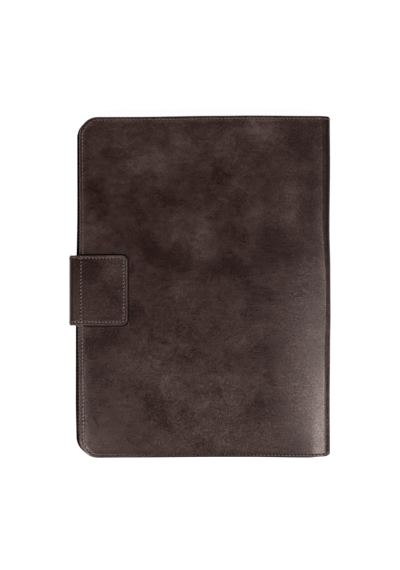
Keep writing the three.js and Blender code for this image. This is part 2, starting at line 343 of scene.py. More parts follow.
class FlatSheet:
    """A round-cornered rectangle: a grid inside and fine rings along its edge."""

    def __init__(self, sheet, straight, row_step):
        seam, radius = sheet.seam, sheet.radius
        finish = sheet.section.length - radius
        turn = np.linspace(0.0, math.pi / 2, CORNER_STEPS + 1)
        middle = np.array([s for s in straight if radius < s < finish])
        along = np.concatenate([np.full(len(turn), radius), middle, np.full(len(turn), finish)])
        out_s = np.concatenate([-np.cos(turn), np.zeros(len(middle)), np.sin(turn)])
        out_y = np.concatenate([-np.sin(turn), -np.ones(len(middle)), -np.cos(turn)])
        self.sheet = sheet
        self.below = pairs(along, -sheet.height / 2 + radius)
        self.below_out = pairs(out_s, out_y)
        self.columns, self.rows = len(along), round(sheet.height / row_step)
        self.grid = self._grid()
        self.loop, self.loop_out = self._loop()
        self.seam = self._seam_distance(seam)
        # The dark backing is a painted shadow line past the strap's edge, wider at its low side
        width = seam.backing + seam.backing_low * np.maximum(-self.loop_out[:, 1], 0.0)
        backed = smoothstep(self.loop[:, 0], seam.backing_from, seam.backing_from + SHADOW_BACKING_EASE)
        self.backing = width * backed

    def _grid(self):
        edge = self.below + self.below_out * (self.sheet.radius - self.sheet.inset)
        return pairs(edge[:, :1], -edge[:, 1:] * np.linspace(-1.0, 1.0, self.rows))

    def _loop(self):
        """Skeleton points and outward directions along the edge, in fine steps."""
        up = np.array([1.0, -1.0])
        side_y = self.grid[0, 1:-1, 1]
        right = pairs(self.below[-1, 0], side_y)
        left = pairs(self.below[0, 0], side_y[::-1])
        points = np.concatenate([self.below, right, (self.below * up)[::-1], left])
        right_out = np.tile([1.0, 0.0], (len(side_y), 1))
        outs = np.concatenate([self.below_out, right_out, (self.below_out * up)[::-1], -right_out])
        share = (np.arange(FINE_STEPS) / FINE_STEPS)[None, :, None]
        points = points[:, None] * (1 - share) + np.roll(points, -1, axis=0)[:, None] * share
        outs = outs[:, None] * (1 - share) + np.roll(outs, -1, axis=0)[:, None] * share
        outs = outs / np.linalg.norm(outs, axis=2, keepdims=True)
        return points.reshape(-1, 2), outs.reshape(-1, 2)

    def _seam_distance(self, seam):
        """Distance of the seam inside the edge, eased from side to side round the corners."""
        out_s, out_y = self.loop_out.T
        end = (seam.top + seam.bottom + (seam.top - seam.bottom) * out_y) / 2
        start = seam.start - seam.start_lean * self.loop[:, 1] / (self.sheet.height / 2)
        side = np.where(out_s < 0, start, seam.finish)
        start_corner = (2 * np.minimum(out_s, 0.0) * out_y) ** 2
        return end + (side - end) * out_s ** 2 + seam.corner * start_corner

    def border(self):
        """Grid indices along the edge of the grid, in the loop's order."""
        index = np.arange(self.columns * self.rows).reshape(self.columns, self.rows)
        sides = [index[:, 0], index[-1, 1:-1], index[::-1, -1], index[0, -2:0:-1]]
        return np.concatenate(sides)

    def edge_line(self, distance):
        """Points at a distance inside the edge, all the way round."""
        outward = self.sheet.radius - np.broadcast_to(distance, len(self.loop))
        return self.loop + self.loop_out * outward[:, None]

    def seam_line(self):
        return SeamLine(self.edge_line(self.seam), self.loop_out, self.sheet.stitch.pitch, closed=True)


def from_needle(along, pitch):
    """Distance along a seam from the nearest needle hole."""
    return np.abs((along / pitch + 0.5) % 1.0 - 0.5) * pitch


def rim_height(flat, distance, along, pitch):
    """Outer face near a sewn edge: round edge, sloping flange, seam valley with needle dents."""
    rounding, fall = flat.sheet.seam.round, flat.sheet.seam.fall
    short = max(rounding - distance, 0.0)
    edge = math.sqrt(rounding**2 - short**2) - rounding
    valley = -SEAM_DEPTH * bump_at(distance, flat.seam, SEAM_WIDTH)
    needle = -NEEDLE_DEPTH * bump_at(distance, flat.seam, NEEDLE_WIDTH)
    needle = needle * bump_at(from_needle(along, pitch), 0.0, NEEDLE_WIDTH)
    flange = -fall * np.maximum(1 - distance / (flat.seam + FLANGE_START), 0.0) ** FLANGE_POWER
    return edge + valley + needle + flange


def sheet_rings(flat, dark_edge_from):
    """Rings from the outer face round the edge to the inner face."""
    line, inset, half = flat.seam_line(), flat.sheet.inset, flat.sheet.wall / 2
    on_dark_edge = flat.loop[:, 0] > dark_edge_from
    places = [(1, distance) for distance in OUTER_RINGS if distance < inset]
    if flat.backing.any():
        places += [(0, -flat.backing), (-1, -flat.backing)]
    places += [(-1, distance) for distance in INNER_RINGS if distance < inset]
    rings = []
    for side, distance in places:
        spot = flat.edge_line(distance)
        if np.ndim(distance):
            height = np.full(len(spot), -half + (side - 1) * SHADOW_BACKING_STEP)
        elif distance == 0.0:
            height = np.full(len(spot), -half)
        else:
            height = side * (half + rim_height(flat, distance, line.marks[:-1], line.pitch)) - half
        height = height + flat.sheet.panel(*spot.T)
        rings.append(Ring(
            points=np.column_stack([spot, height]),
            rim=np.broadcast_to(distance, len(spot)),
            seam_gap=distance - flat.seam,
            dark=(side <= 0) | (distance <= 0.0) | (on_dark_edge & (distance < DARK_EDGE)),
        ))
    return rings


def sheet_faces(flat, ring_count):
    """Faces of the outer grid, the bands between rings, the inner grid and the fans beside both grids."""
    loop_count = len(flat.loop)
    first_ring = flat.columns * flat.rows
    last_ring = first_ring + (ring_count - 1) * loop_count
    inner_start = last_ring + loop_count
    column, row = np.meshgrid(np.arange(flat.columns - 1), np.arange(flat.rows - 1), indexing="ij")
    corner = (column * flat.rows + row).ravel()
    outer = np.stack([corner, corner + flat.rows, corner + flat.rows + 1, corner + 1], axis=1)
    inner = outer[:, ::-1] + inner_start
    step = np.arange(loop_count)
    after = (step + 1) % loop_count
    bands = []
    for ring in range(ring_count - 1):
        here = first_ring + ring * loop_count
        there = here + loop_count
        bands.append(np.stack([here + step, there + step, there + after, here + after], axis=1))
    border = flat.border()
    outer_fan = fan_faces(border, first_ring + step)
    inner_fan = fan_faces(inner_start + border, last_ring + step)[:, ::-1]
    return outer, bands, inner, outer_fan, inner_fan


def fan_faces(border, fine):
    """Triangles between the grid's border and the finer ring round it."""
    faces = []
    half = FINE_STEPS // 2
    for k, here in enumerate(border):
        there = border[(k + 1) % len(border)]
        run = [fine[(k * FINE_STEPS + m) % len(fine)] for m in range(FINE_STEPS + 1)]
        faces += [(here, run[m], run[m + 1]) for m in range(half)]
        faces.append((here, run[half], there))
        faces += [(there, run[m], run[m + 1]) for m in range(half, FINE_STEPS)]
    return np.array(faces)


def sheet_mesh(name, flat, materials, dark_edge_from=math.inf):
    """A closed sheet: outer face, edge and inner face. Material 0 is outside, 1 inside and on a dark edge; the
    dark edge is painted shade.
    """
    grid = flat.grid.reshape(-1, 2)
    outer_grid = np.column_stack([grid, flat.sheet.panel(*grid.T)])
    inner_grid = outer_grid - np.array([0.0, 0.0, flat.sheet.wall])
    rings = sheet_rings(flat, dark_edge_from)
    vertices = np.concatenate([outer_grid, *(ring.points for ring in rings), inner_grid])
    outer, bands, inner, outer_fan, inner_fan = sheet_faces(flat, len(rings))
    quads = np.concatenate([outer, *bands, inner])
    triangles = np.concatenate([outer_fan, inner_fan])
    inside = np.concatenate([
        np.zeros(len(outer), dtype=int),
        *(ring.dark for ring in rings[:-1]),
        np.ones(len(inner), dtype=int),
        np.zeros(len(outer_fan), dtype=int),
        np.ones(len(inner_fan), dtype=int),
    ])
    points = flat.sheet.place(*vertices.T)
    piece = add_mesh(name, points, quads.tolist() + triangles.tolist(), materials, inside)
    deep = np.full(len(grid), flat.sheet.inset)
    for mark in ("rim", "seam_gap"):
        values = np.concatenate([deep, *(getattr(ring, mark) for ring in rings), deep])
        attribute = piece.data.attributes.new(mark, "FLOAT", "POINT")
        attribute.data.foreach_set("value", values.astype(np.float32))
    return piece


def add_object(name, data):
    piece = bpy.data.objects.new(name, data)
    bpy.context.scene.collection.objects.link(piece)
    return piece


def add_mesh(name, points, faces, materials, material_index=None):
    mesh = bpy.data.meshes.new(name)
    mesh.from_pydata(points.tolist(), [], faces)
    for material in materials:
        mesh.materials.append(material)
    if material_index is not None:
        mesh.polygons.foreach_set("material_index", material_index)
    mesh.polygons.foreach_set("use_smooth", [True] * len(mesh.polygons))
    mesh.update()
    return add_object(name, mesh)


# Stitches and needle holes
TUBE_POINTS = 7
TUBE_SIDES = 8
TUBE_END = 0.1
TUBE_TAPER_POWER = 6
ARCH_RISE = 0.55
ARCH_FALL = 1.5
ARCH_POWER = 4
THREAD_SINK = 0.7
HOLE_SIDES = 10
HOLE_HEIGHT = 0.1
Hole = namedtuple("Hole", "length width shift rise")
COVER_HOLE = Hole(0.18, 0.18, shift=0.0, rise=-0.088)
CORNER_HOLE = Hole(0.6, 0.45, shift=0.0, rise=0.35)
INNER_HOLE = Hole(1.1, 0.7, shift=0.0, rise=0.3)
STRAP_HOLE = Hole(0.75, 0.6, shift=-0.6, rise=0.1)
CROSS_HOLE = Hole(0.75, 0.6, shift=-0.5, rise=0.1)
CORNER_HOLES_FROM_X = 106.0
OUTER_THREAD = -SEAM_DEPTH * THREAD_SINK


class SeamLine:
    """A sewn line on a flat sheet: places by length along it, with the direction across it."""

    def __init__(self, points, across, pitch, closed):
        if closed:
            points, across = (np.concatenate([run, run[:1]]) for run in (points, across))
        steps = np.linalg.norm(np.diff(points, axis=0), axis=1)
        self.marks = np.concatenate([[0.0], np.cumsum(steps)])
        self.columns = np.concatenate([points, across], axis=1).T
        self.length, self.closed = self.marks[-1], closed
        self.count = round(self.length / pitch)
        self.pitch = self.length / self.count

    def at(self, along):
        if self.closed:
            along = along % self.length
        return [np.interp(along, self.marks, column) for column in self.columns]

    def kept_steps(self, keep, offset=0.0):
        """Numbers and y of the steps along the line whose places are to be kept."""
        number = np.arange(self.count)
        s, y, _, _ = self.at((number + offset) * self.pitch)
        kept = keep(s, y)
        return number[kept], y[kept]

    def flat_points(self, along, lateral, height):
        """Points (s, y, h) from places along the line, across it and out of the face."""
        along, lateral, height = np.broadcast_arrays(along, lateral, height)
        s, y, across_s, across_y = self.at(along)
        return np.stack([s + across_s * lateral, y + across_y * lateral, height], axis=-1).reshape(-1, 3)


def everywhere(s, y):
    return np.full(len(s), True)


def stitch_tubes(line, stitch, base, side, keep=everywhere):
    """Slanted stitches of thread, their ends sunk into the leather. Gives flat points and faces."""
    radius = stitch.radius
    number, y = line.kept_steps(keep, offset=0.5)
    high = smoothstep(y, *LOW_STITCH_Y)[:, None, None]
    share = stitch.low_share + (stitch.share - stitch.low_share) * high
    t = np.linspace(-0.5, 0.5, TUBE_POINTS)[None, :, None]
    turn = full_turn(TUBE_SIDES)[None, None, :]
    along = (number[:, None, None] + 0.5 + t * share) * line.pitch
    taper = np.sqrt(np.maximum(1 - (2 * t) ** TUBE_TAPER_POWER, 0.0)) * (1 - TUBE_END) + TUBE_END
    lateral = stitch.slant * 2 * t + radius * taper * np.cos(turn)
    arch = radius * (ARCH_RISE - ARCH_FALL * (2 * t) ** ARCH_POWER)
    height = arch + radius * taper * np.sin(turn)
    faces = tube_faces(len(number), TUBE_POINTS, TUBE_SIDES)
    if side > 0:
        faces = [face[::-1] for face in faces]
    return line.flat_points(along, lateral, base + side * height), faces


def tube_faces(count, rings, sides):
    """Faces of closed tubes, one after another."""
    faces = []
    for first in range(0, count * rings * sides, rings * sides):
        for start in range(first, first + (rings - 1) * sides, sides):
            for corner in range(sides):
                a, b = start + corner, start + (corner + 1) % sides
                faces.append((a, b, b + sides, a + sides))
        faces.append(tuple(range(first, first + sides))[::-1])
        faces.append(tuple(range(first + (rings - 1) * sides, first + rings * sides)))
    return faces


def needle_holes(line, size, base, side, keep=everywhere):
    """Small dark lenses where the needle went through, one between each two stitches, near black as painted
    shade in the holes.
    """
    number, _ = line.kept_steps(keep)
    turn = full_turn(HOLE_SIDES)
    along = number[:, None] * line.pitch + np.append(size.length * np.cos(turn), [0.0, 0.0])[None, :]
    lateral = size.shift + np.append(size.width * np.sin(turn), [0.0, 0.0])[None, :]
    height = size.rise + np.append(np.zeros(HOLE_SIDES), [HOLE_HEIGHT, -HOLE_HEIGHT])[None, :]
    faces = []
    for k in range(len(number)):
        first = k * (HOLE_SIDES + 2)
        top, bottom = first + HOLE_SIDES, first + HOLE_SIDES + 1
        for corner in range(HOLE_SIDES):
            a, b = first + corner, first + (corner + 1) % HOLE_SIDES
            faces += [(a, b, top), (b, a, bottom)]
    if side < 0:
        faces = [face[::-1] for face in faces]
    return line.flat_points(along, lateral, base + side * height), faces


def join_runs(name, runs, sheet, material):
    """One mesh from several runs of flat points and faces, laid on the panel."""
    points, faces, start = [], [], 0
    for run_points, run_faces in runs:
        points.append(run_points)
        faces += [tuple(start + index for index in face) for face in run_faces]
        start += len(run_points)
    s, y, height = np.concatenate(points).T
    return add_mesh(name, sheet.place(s, y, height + sheet.panel(s, y)), faces, [material])


# Materials
NOISE_MIDDLE = 0.5


class Nodes:
    """One material's node tree, built with short calls. Its place is the object's, in millimetres."""

    def __init__(self, name):
        self.material = bpy.data.materials.new(name)
        self.material.use_nodes = True
        self.tree = self.material.node_tree
        self.tree.nodes.clear()
        metres = self.add("TexCoord").outputs["Object"]
        self.place = self.stretch(metres, 1 / MM, 1 / MM, 1 / MM)
        axes = self.add("SeparateXYZ", {0: self.place}).outputs
        self.x, self.y, self.z = axes["X"], axes["Y"], axes["Z"]

    def add(self, kind, inputs=(), **settings):
        node = self.tree.nodes.new("ShaderNode" + kind)
        for key, value in settings.items():
            setattr(node, key, value)
        for key, value in dict(inputs).items():
            if isinstance(value, bpy.types.NodeSocket):
                self.tree.links.new(value, node.inputs[key])
            else:
                node.inputs[key].default_value = value
        return node

    def math(self, operation, a, b=0.0, c=0.0):
        return self.add("Math", {0: a, 1: b, 2: c}, operation=operation).outputs[0]

    def sum(self, first, *others):
        for other in others:
            first = self.math("ADD", first, other)
        return first

    def product(self, first, *others):
        for other in others:
            first = self.math("MULTIPLY", first, other)
        return first

    def layered(self, total, *layers):
        """A total with layers added, each a value and its factor."""
        for value, factor in layers:
            total = self.math("MULTIPLY_ADD", value, factor, total)
        return total

    def gap(self, value, middle):
        return self.math("ABSOLUTE", self.math("SUBTRACT", value, middle))

    def fade(self, value, start, end, before=0.0, after=1.0):
        """A soft change from one value to another between two places."""
        inputs = {"Value": value, "From Min": start, "From Max": end, "To Min": before, "To Max": after}
        return self.add("MapRange", inputs, interpolation_type="SMOOTHSTEP").outputs[0]

    def vector(self, operation, a, b):
        return self.add("VectorMath", {0: a, 1: b}, operation=operation).outputs["Vector"]

    def stretch(self, place, x, y=1.0, z=1.0):
        return self.vector("MULTIPLY", place, (x, y, z))

    def noise(self, place, size, detail=3.0, roughness=0.5, distortion=0.0, output=0):
        inputs = {"Vector": place, "Scale": 1.0 / size, "Detail": detail, "Roughness": roughness}
        return self.add("TexNoise", {**inputs, "Distortion": distortion}).outputs[output]

    def centred_noise(self, place, **noise):
        return self.math("SUBTRACT", self.noise(place, **noise), NOISE_MIDDLE)

    def pushed(self, start, reach, **noise):
        """A place pushed aside by a noise, by up to half the reach each way."""
        push = self.vector("SUBTRACT", self.noise(self.place, **noise, output="Color"), (NOISE_MIDDLE,) * 3)
        return self.vector("ADD", start, self.stretch(push, reach, reach, reach))

    def attribute(self, name):
        return self.add("Attribute", attribute_name=name).outputs["Fac"]

    def ramp(self, value, stops):
        node = self.add("ValToRGB", {0: value})
        elements = node.color_ramp.elements
        while len(elements) < len(stops):
            elements.new(1.0)
        for element, (place, colour) in zip(elements, stops):
            element.position = place
            element.color = (*colour, 1.0)
        return node.outputs["Color"]

    def mix(self, share, a, b):
        """Two colours mixed. The node's colour sockets are 6 and 7, and its colour output is 2."""
        return self.add("Mix", {0: share, 6: a, 7: b}, data_type="RGBA").outputs[2]

    def bump(self, height, strength, depth):
        return self.add("Bump", {"Strength": strength, "Distance": depth * MM, "Height": height}).outputs[0]

    def finish(self, **inputs):
        shader = self.add("BsdfPrincipled", {key.replace("_", " "): value for key, value in inputs.items()})
        output = self.add("OutputMaterial")
        self.tree.links.new(shader.outputs[0], output.inputs["Surface"])
        return self.material


# Clouds charted: place and size in millimetres, tone lighter or darker
Cloud = namedtuple("Cloud", "x y size tone")
# Most clouds are the leather's own tone; the dark ones at (108, 142) and (82, 24) are painted shade that
# tempers the highlight's tail near the spine
BACK_CLOUDS = [Cloud(*row) for row in (
    (0, 25, 110, -0.3), (85, -115, 50, 0.2), (-95, -120, 70, -0.4), (-60, -40, 45, -0.3),
    (-88, 140, 36, 0.7), (108, 142, 24, -0.5), (104, -158, 16, -0.8), (94, -162, 24, -0.5),
    (75, 44, 24, -0.15), (82, 24, 34, -0.5), (-20, 152, 60, 0.3), (28, 138, 34, 0.4),
    (-10, -18, 30, 0.35), (28, -50, 62, -0.35), (72, 60, 34, 0.4), (-88, -130, 34, -0.25),
    (60, 148, 21, 1.3), (47, 153, 14, 0.5), (-19, 134, 17, 0.8), (-62, 118, 15, 0.7),
    (-46, 121, 17, 1.1), (-33, 116, 13, 0.8), (-10, 122, 13, 0.6), (24, 137, 13, 0.5),
    (87, 91, 14, 1.2), (88, 70, 14, 0.9), (51, 74, 13, 0.9), (38, 95, 11, 0.5),
    (3, 60, 16, 0.8), (-1, 42, 16, 0.8), (6, 31, 12, 0.7), (-25, 54, 18, 0.85),
    (-106, 53, 15, 0.7), (-19, 1, 14, 0.5), (35, -14, 13, 0.4), (-72, -76, 15, 0.7),
    (-48, -77, 16, 0.8), (-29, -91, 16, 0.7), (-70, -118, 18, 0.5), (-88, -144, 17, 0.6),
    (-104, -152, 16, 0.7), (34, -53, 14, 0.5), (29, -90, 14, 0.4), (2, -78, 13, 0.3),
    (-87, 129, 16, -0.6), (-102, 96, 13, -0.9), (-97, 80, 14, -0.9), (-64, 88, 12, -0.5),
    (-56, 68, 13, -0.6), (-38, 84, 14, -0.8), (-25, 83, 13, -0.8), (-53, 43, 12, -0.9),
    (-48, 34, 15, -1.0), (-31, 28, 16, -0.8), (-16, 22, 12, -0.6), (20, 108, 15, -1.1),
    (53, 128, 18, -0.6), (96, 132, 17, -0.7), (106, 103, 13, -0.7), (106, 77, 12, -0.8),
    (38, 79, 13, -0.5), (25, 55, 13, -0.6), (39, 48, 13, -0.7), (71, 55, 11, -0.8),
    (69, 43, 15, -1.0), (67, 28, 16, -0.9), (86, 35, 14, -0.9), (24, 21, 15, -1.1),
    (39, 14, 14, -0.9), (9, 14, 12, -0.5), (49, 1, 14, -0.6), (61, -8, 15, -0.8),
    (48, -23, 14, -0.7), (-24, -42, 13, -0.6), (-63, -25, 13, -0.8), (-87, -47, 16, -0.8),
    (-105, -57, 15, -0.8), (-43, -56, 13, -0.5), (60, -60, 16, -1.2), (67, -76, 13, -0.9),
    (34, -70, 12, -0.7), (69, -91, 13, -0.7), (-97, -86, 14, -0.5), (17, -102, 12, -0.6),
    (59, -114, 16, -1.0), (72, -115, 15, -1.0), (44, -128, 14, -0.9), (-45, -113, 15, -1.0),
    (-35, -128, 13, -0.9), (-10, -127, 14, -0.6), (5, -152, 13, -0.5), (88, -154, 19, -0.9),
)]
STRAP_CLOUDS = [Cloud(*row) for row in (
    (-108, 20, 20, -0.95), (-80, 18, 18, 1.0), (-118, -26, 22, 0.65), (-98, -24, 16, 0.3),
    (-84, -8, 16, -0.4), (-75, -27, 9, 0.4),
)]
CLOUD_SPREAD = 1.2

# Leather: its tone and the strength of clouds and specks, and where its edge paint ends
Leather = namedtuple("Leather", "clouds tone cloudiness specks paint")
# The cover's specks grow stronger low down, where the highlight falls: partly painted glints
COVER_LEATHER = Leather(BACK_CLOUDS, tone=0.272, cloudiness=1.2, specks=(1.0, 1.8), paint=(0.12, 0.4))
STRAP_LEATHER = Leather(STRAP_CLOUDS, tone=0.168, cloudiness=0.45, specks=(1.85, 1.85), paint=(0.3, 0.6))
LEATHER_TONES = [
    (0.0, (0.0135, 0.0045, 0.0032)),
    (0.143, (0.0232, 0.0094, 0.0073)),
    (0.357, (0.0375, 0.0187, 0.0155)),
    (0.571, (0.0595, 0.0351, 0.0306)),
    (0.786, (0.0880, 0.0576, 0.0517)),
    (1.0, (0.1240, 0.0861, 0.0788)),
]
LEATHER_GLINT = (1.0, 0.83, 0.79, 1.0)
EDGE_PAINT = (0.006, 0.0022, 0.0018, 1.0)
BACK_MIDDLE_Z = (COVER_HIGH[2] + COVER_LOW[2]) / 2
BACK_EASE = 1.0
DRIFT = {"size": 15.0, "detail": 2.0}
CLOUD_DRIFT = 16.0
MOTTLE_DRIFT = 7.0
RAGGED_DRIFT = 11.0
CHART_SHARE = 0.228
WIDE_SHARE = 0.25
MIDDLE_SHARE = 0.38
MOTTLE_SHARE = 0.6
BEAD_MIDDLE = 1.4
INNER_SIDE_MIDDLE = 1.2
# Painted shadow round the strap's sewn end on the cover: its tone, and its share of edge paint colour
STRAP_SHADOW_TONE = -0.4
STRAP_SHADOW_PAINT = 0.85
# The strap's rim line, part wear and part painted highlight, and the place of its painted shade at the bend
STRAP_WORN_AND_LIT_RIM = 0.9
STRAP_BEND_SHADE_X = -123.4
PEBBLE_SIZE = 0.9
PEBBLE_SHARE = -0.55
PORE_SHARE = 0.4
CREASE_SHARE = 0.35
SOFT_SHARE = 0.1
ROUGHNESS = 0.262
PORE_ROUGHNESS = 0.06
STREAK_ROUGHNESS = -0.55
PAINT_ROUGHNESS = 0.45


def charted_clouds(g, place, clouds):
    """Sum of soft round clouds, each with its own place, size and tone."""
    level = g.stretch(place, 1.0, 1.0, 0.0)
    spots = []
    for cloud in clouds:
        node = g.add("VectorMath", {0: level, 1: (cloud.x, cloud.y, 0.0)}, operation="DISTANCE")
        spots.append(g.fade(node.outputs["Value"], 0.0, cloud.size * CLOUD_SPREAD, cloud.tone, 0.0))
    return g.sum(*spots)


def back_side(g):
    return g.fade(g.z, BACK_MIDDLE_Z - BACK_EASE, BACK_MIDDLE_Z + BACK_EASE)


def clouded_tone(g, leather):
    """The leather's tone with its clouds. The charted ones lie on the back side only."""
    drifted = g.pushed(g.place, CLOUD_DRIFT, **DRIFT)
    wide = g.centred_noise(drifted, size=38.0, detail=2.0)
    middle = g.centred_noise(drifted, size=12.0, roughness=0.55)
    ragged = g.pushed(drifted, RAGGED_DRIFT, size=9.0, roughness=0.45)
    chart = charted_clouds(g, ragged, leather.clouds)
    return g.layered(
        leather.tone, (wide, WIDE_SHARE * leather.cloudiness), (middle, MIDDLE_SHARE * leather.cloudiness),
        (chart, g.product(back_side(g), CHART_SHARE)))


def specked_tone(g, leather, tone):
    """Mottle, specks and fine hatching. The last two are made stronger towards the spine and low down, where
    the highlight falls, so part of them is painted glints on the grain.
    """
    mottle_place = g.stretch(g.pushed(g.place, MOTTLE_DRIFT, **DRIFT), 0.6)
    mottle = g.centred_noise(mottle_place, size=4.5, roughness=0.6)
    speck = g.centred_noise(g.place, size=1.1, detail=2.0, roughness=0.6)
    speck_glint_tone = g.product(g.fade(g.y, 90.0, -50.0, *leather.specks), g.fade(g.x, 40.0, 105.0, 1.0, 1.5))
    hatch = g.centred_noise(g.stretch(g.place, 0.35), size=1.05, detail=2.0, roughness=0.6)
    hatch_glint_tone = g.product(g.fade(g.x, 50.0, 105.0, 0.0, 1.7), g.fade(g.y, 60.0, -20.0, 0.2, 1.0))
    return g.layered(tone, (mottle, MOTTLE_SHARE), (speck, speck_glint_tone), (hatch, hatch_glint_tone))


def seam_wear_and_highlight(g, tone):
    """A little paler on the bead as wear, and paler on the inner side of the seam as a painted highlight on
    the panel's swell, stronger near the top edge.
    """
    bead = g.fade(g.gap(g.attribute("rim"), BEAD_MIDDLE), 0.0, 1.0, 0.06, 0.0)
    inner_side = g.fade(g.gap(g.attribute("seam_gap"), INNER_SIDE_MIDDLE), 0.3, 2.8, 1.0, 0.0)
    inner_highlight_tone = g.fade(g.y, 140.0, 156.0, 0.07, 0.2)
    return g.layered(g.sum(tone, bead), (inner_side, inner_highlight_tone))


def cover_wear_and_shading(g, tone, painted):
    """Painted light and shade, with some wear: the spine's band paler low down and darker high up, the low
    edge darker as painted shade but paler by the spine as a painted highlight, the fore-edge's rim paler as
    wear and painted highlight, most low down, and a painted shadow line round the strap's end.
    """
    # Painted light and shade on the spine's band: paler low down, darker high up
    spine = g.fade(g.x, 120.0, 123.0)
    spine_shading_tone = g.fade(g.y, -120.0, 110.0, 0.12, -0.55)
    # Painted shade along the low edge, paler near the spine as a painted highlight; this edge is left bare of
    # paint
    low_edge = g.fade(g.y, -157.5, -161.0)
    low_light_and_shade_tone = g.fade(g.x, 98.0, 116.0, -0.28, 0.2)
    # Fore-edge rim paler, part wear and part painted highlight, and left bare of paint
    fore_edge = g.fade(g.x, -110.0, -114.0)
    fore_rim = g.fade(g.attribute("rim"), 0.3, 0.8, 1.0, 0.0)
    fore_tone = g.fade(g.y, -80.0, -120.0, 0.3, 0.45)
    # Painted shadow round the strap's sewn end, darkened and given edge paint colour
    past_side = g.math("SUBTRACT", g.gap(g.y, STRAP_MIDDLE_Y), STRAP_WIDTH / 2)
    past_strap = g.math("MAXIMUM", past_side, g.math("SUBTRACT", g.x, STRAP_SEWN_END_X))
    strap_shadow = g.product(back_side(g), g.fade(past_strap, 0.2, 1.8, 1.0, 0.0))
    tone = g.layered(
        tone, (spine, spine_shading_tone), (low_edge, low_light_and_shade_tone), (g.product(fore_edge, fore_rim), fore_tone),
        (strap_shadow, STRAP_SHADOW_TONE))
    unpainted = g.math("MAXIMUM", fore_edge, low_edge)
    painted = g.product(painted, g.math("SUBTRACT", 1.0, unpainted))
    return tone, g.math("MAXIMUM", painted, g.product(strap_shadow, STRAP_SHADOW_PAINT))


def strap_wear_and_shading(g, tone, painted):
    """Rim line paler, part wear and part painted highlight, more so high up and with painted shade on it at
    the low side, and painted shade on the bend's steep part.
    """
    worn_and_lit_rim = g.fade(g.gap(g.attribute("rim"), STRAP_WORN_AND_LIT_RIM), 0.1, 0.6, 1.0, 0.0)
    low_light_and_shade_tone = g.fade(g.y, STRAP_LOW[1] + 1.0, STRAP_LOW[1] + 5.0, -0.15, 0.5)
    high_highlight_tone = g.fade(g.y, STRAP_HIGH[1] - 5.0, STRAP_HIGH[1] - 1.0, 0.0, 0.3)
    # Painted shade on the bend's steep part
    crease = g.fade(g.gap(g.x, STRAP_BEND_SHADE_X), 0.3, 2.2, -0.24, 0.0)
    return g.sum(g.layered(tone, (worn_and_lit_rim, g.sum(low_light_and_shade_tone, high_highlight_tone))), crease), painted


def leather_material(name, leather, add_wear_and_shading):
    g = Nodes(name)
    clouded = clouded_tone(g, leather)
    tone = seam_wear_and_highlight(g, specked_tone(g, leather, clouded))
    tone, painted = add_wear_and_shading(g, tone, g.fade(g.attribute("rim"), *leather.paint, 1.0, 0.0))
    colour = g.mix(painted, g.ramp(tone, LEATHER_TONES), EDGE_PAINT)

    # Grain: pebbles, fine pores and a few long creases across the panel, flatter towards the spine
    pebble_inputs = {"Vector": g.place, "Scale": 1.0 / PEBBLE_SIZE, "Randomness": 0.9}
    pebble = g.add("TexVoronoi", pebble_inputs, feature="F1").outputs["Distance"]
    pore = g.noise(g.place, size=0.45, roughness=0.6)
    crease = g.noise(g.stretch(g.place, 0.13), size=1.1, roughness=0.55, distortion=0.2)
    creased = g.product(g.fade(g.x, 20.0, 110.0, 0.1, 1.0), g.fade(g.y, -10.0, 90.0, 1.0, 0.4))
    grain = g.layered(
        g.product(pore, PORE_SHARE), (pebble, PEBBLE_SHARE), (crease, g.product(creased, CREASE_SHARE)),
        (g.noise(g.place, size=7.0), SOFT_SHARE))
    grain = g.product(grain, g.fade(g.x, 20.0, 116.0, 1.0, 0.5))

    # Gloss: paler clouds, pores, paint, the spine's side and its ridge are duller, creases are streaky
    cloud = g.math("SUBTRACT", clouded, leather.tone)
    cloud_share = g.fade(g.x, 30.0, 95.0, 0.17, 0.03)
    streak = g.product(g.math("SUBTRACT", crease, NOISE_MIDDLE), creased)
    streak = g.product(streak, g.fade(g.x, 102.0, 116.0, 1.0, 0.35))
    spine_side = g.fade(g.x, 20.0, 116.0, 0.0, 0.05)
    ridge = g.product(g.fade(g.x, 116.5, 121.0, 0.0, 0.1), g.fade(g.y, -95.0, -60.0))
    ridge = g.product(ridge, g.fade(g.y, 12.0, 50.0, 1.0, 0.0))
    roughness = g.layered(
        ROUGHNESS, (cloud, cloud_share), (pore, PORE_ROUGHNESS), (streak, STREAK_ROUGHNESS),
        (painted, PAINT_ROUGHNESS))
    return g.finish(
        Base_Color=colour,
        Roughness=g.sum(roughness, spine_side, ridge),
        Normal=g.bump(grain, strength=0.72, depth=0.3),
        Specular_Tint=LEATHER_GLINT,
    )


# Lining, thread, needle holes, metal and floor
FINE_SHARE = 0.4
BROAD_SHARE = 0.6
# Below 0.6 the ramp is near black: painted shade on the lip and the strap's painted shadow backing. Above it
# is the lining's dark brown inside, and painted light low on the lip
LINING_TONES = [
    (0.3, (0.0050, 0.0012, 0.0009)),
    (0.6, (0.0080, 0.0022, 0.0016)),
    (1.0, (0.1900, 0.1130, 0.1000)),
]
THREAD_TONES = [
    (0.0, (0.050, 0.030, 0.025)),
    (0.3, (0.125, 0.084, 0.073)),
    (0.7, (0.245, 0.178, 0.157)),
    (1.0, (0.370, 0.300, 0.280)),
]
# The inner stitches' thread is darkened as painted shade in the gap between the panels
DARK_THREAD_TONES = [(0.3, (0.09, 0.053, 0.046)), (0.7, (0.14, 0.086, 0.075))]
# Needle holes near black: painted shade in the holes
HOLE_SHADE_TONES = [(0.3, (0.002, 0.0013, 0.0012)), (0.7, (0.005, 0.003, 0.0027))]
TARNISH_TONES = [(0.35, (0.12, 0.085, 0.05)), (0.7, (0.34, 0.26, 0.16))]
FLOOR_TONES = [(0.3, (0.18, 0.18, 0.18)), (0.7, (0.19, 0.19, 0.19))]
FLOOR_GLOW = 0.97


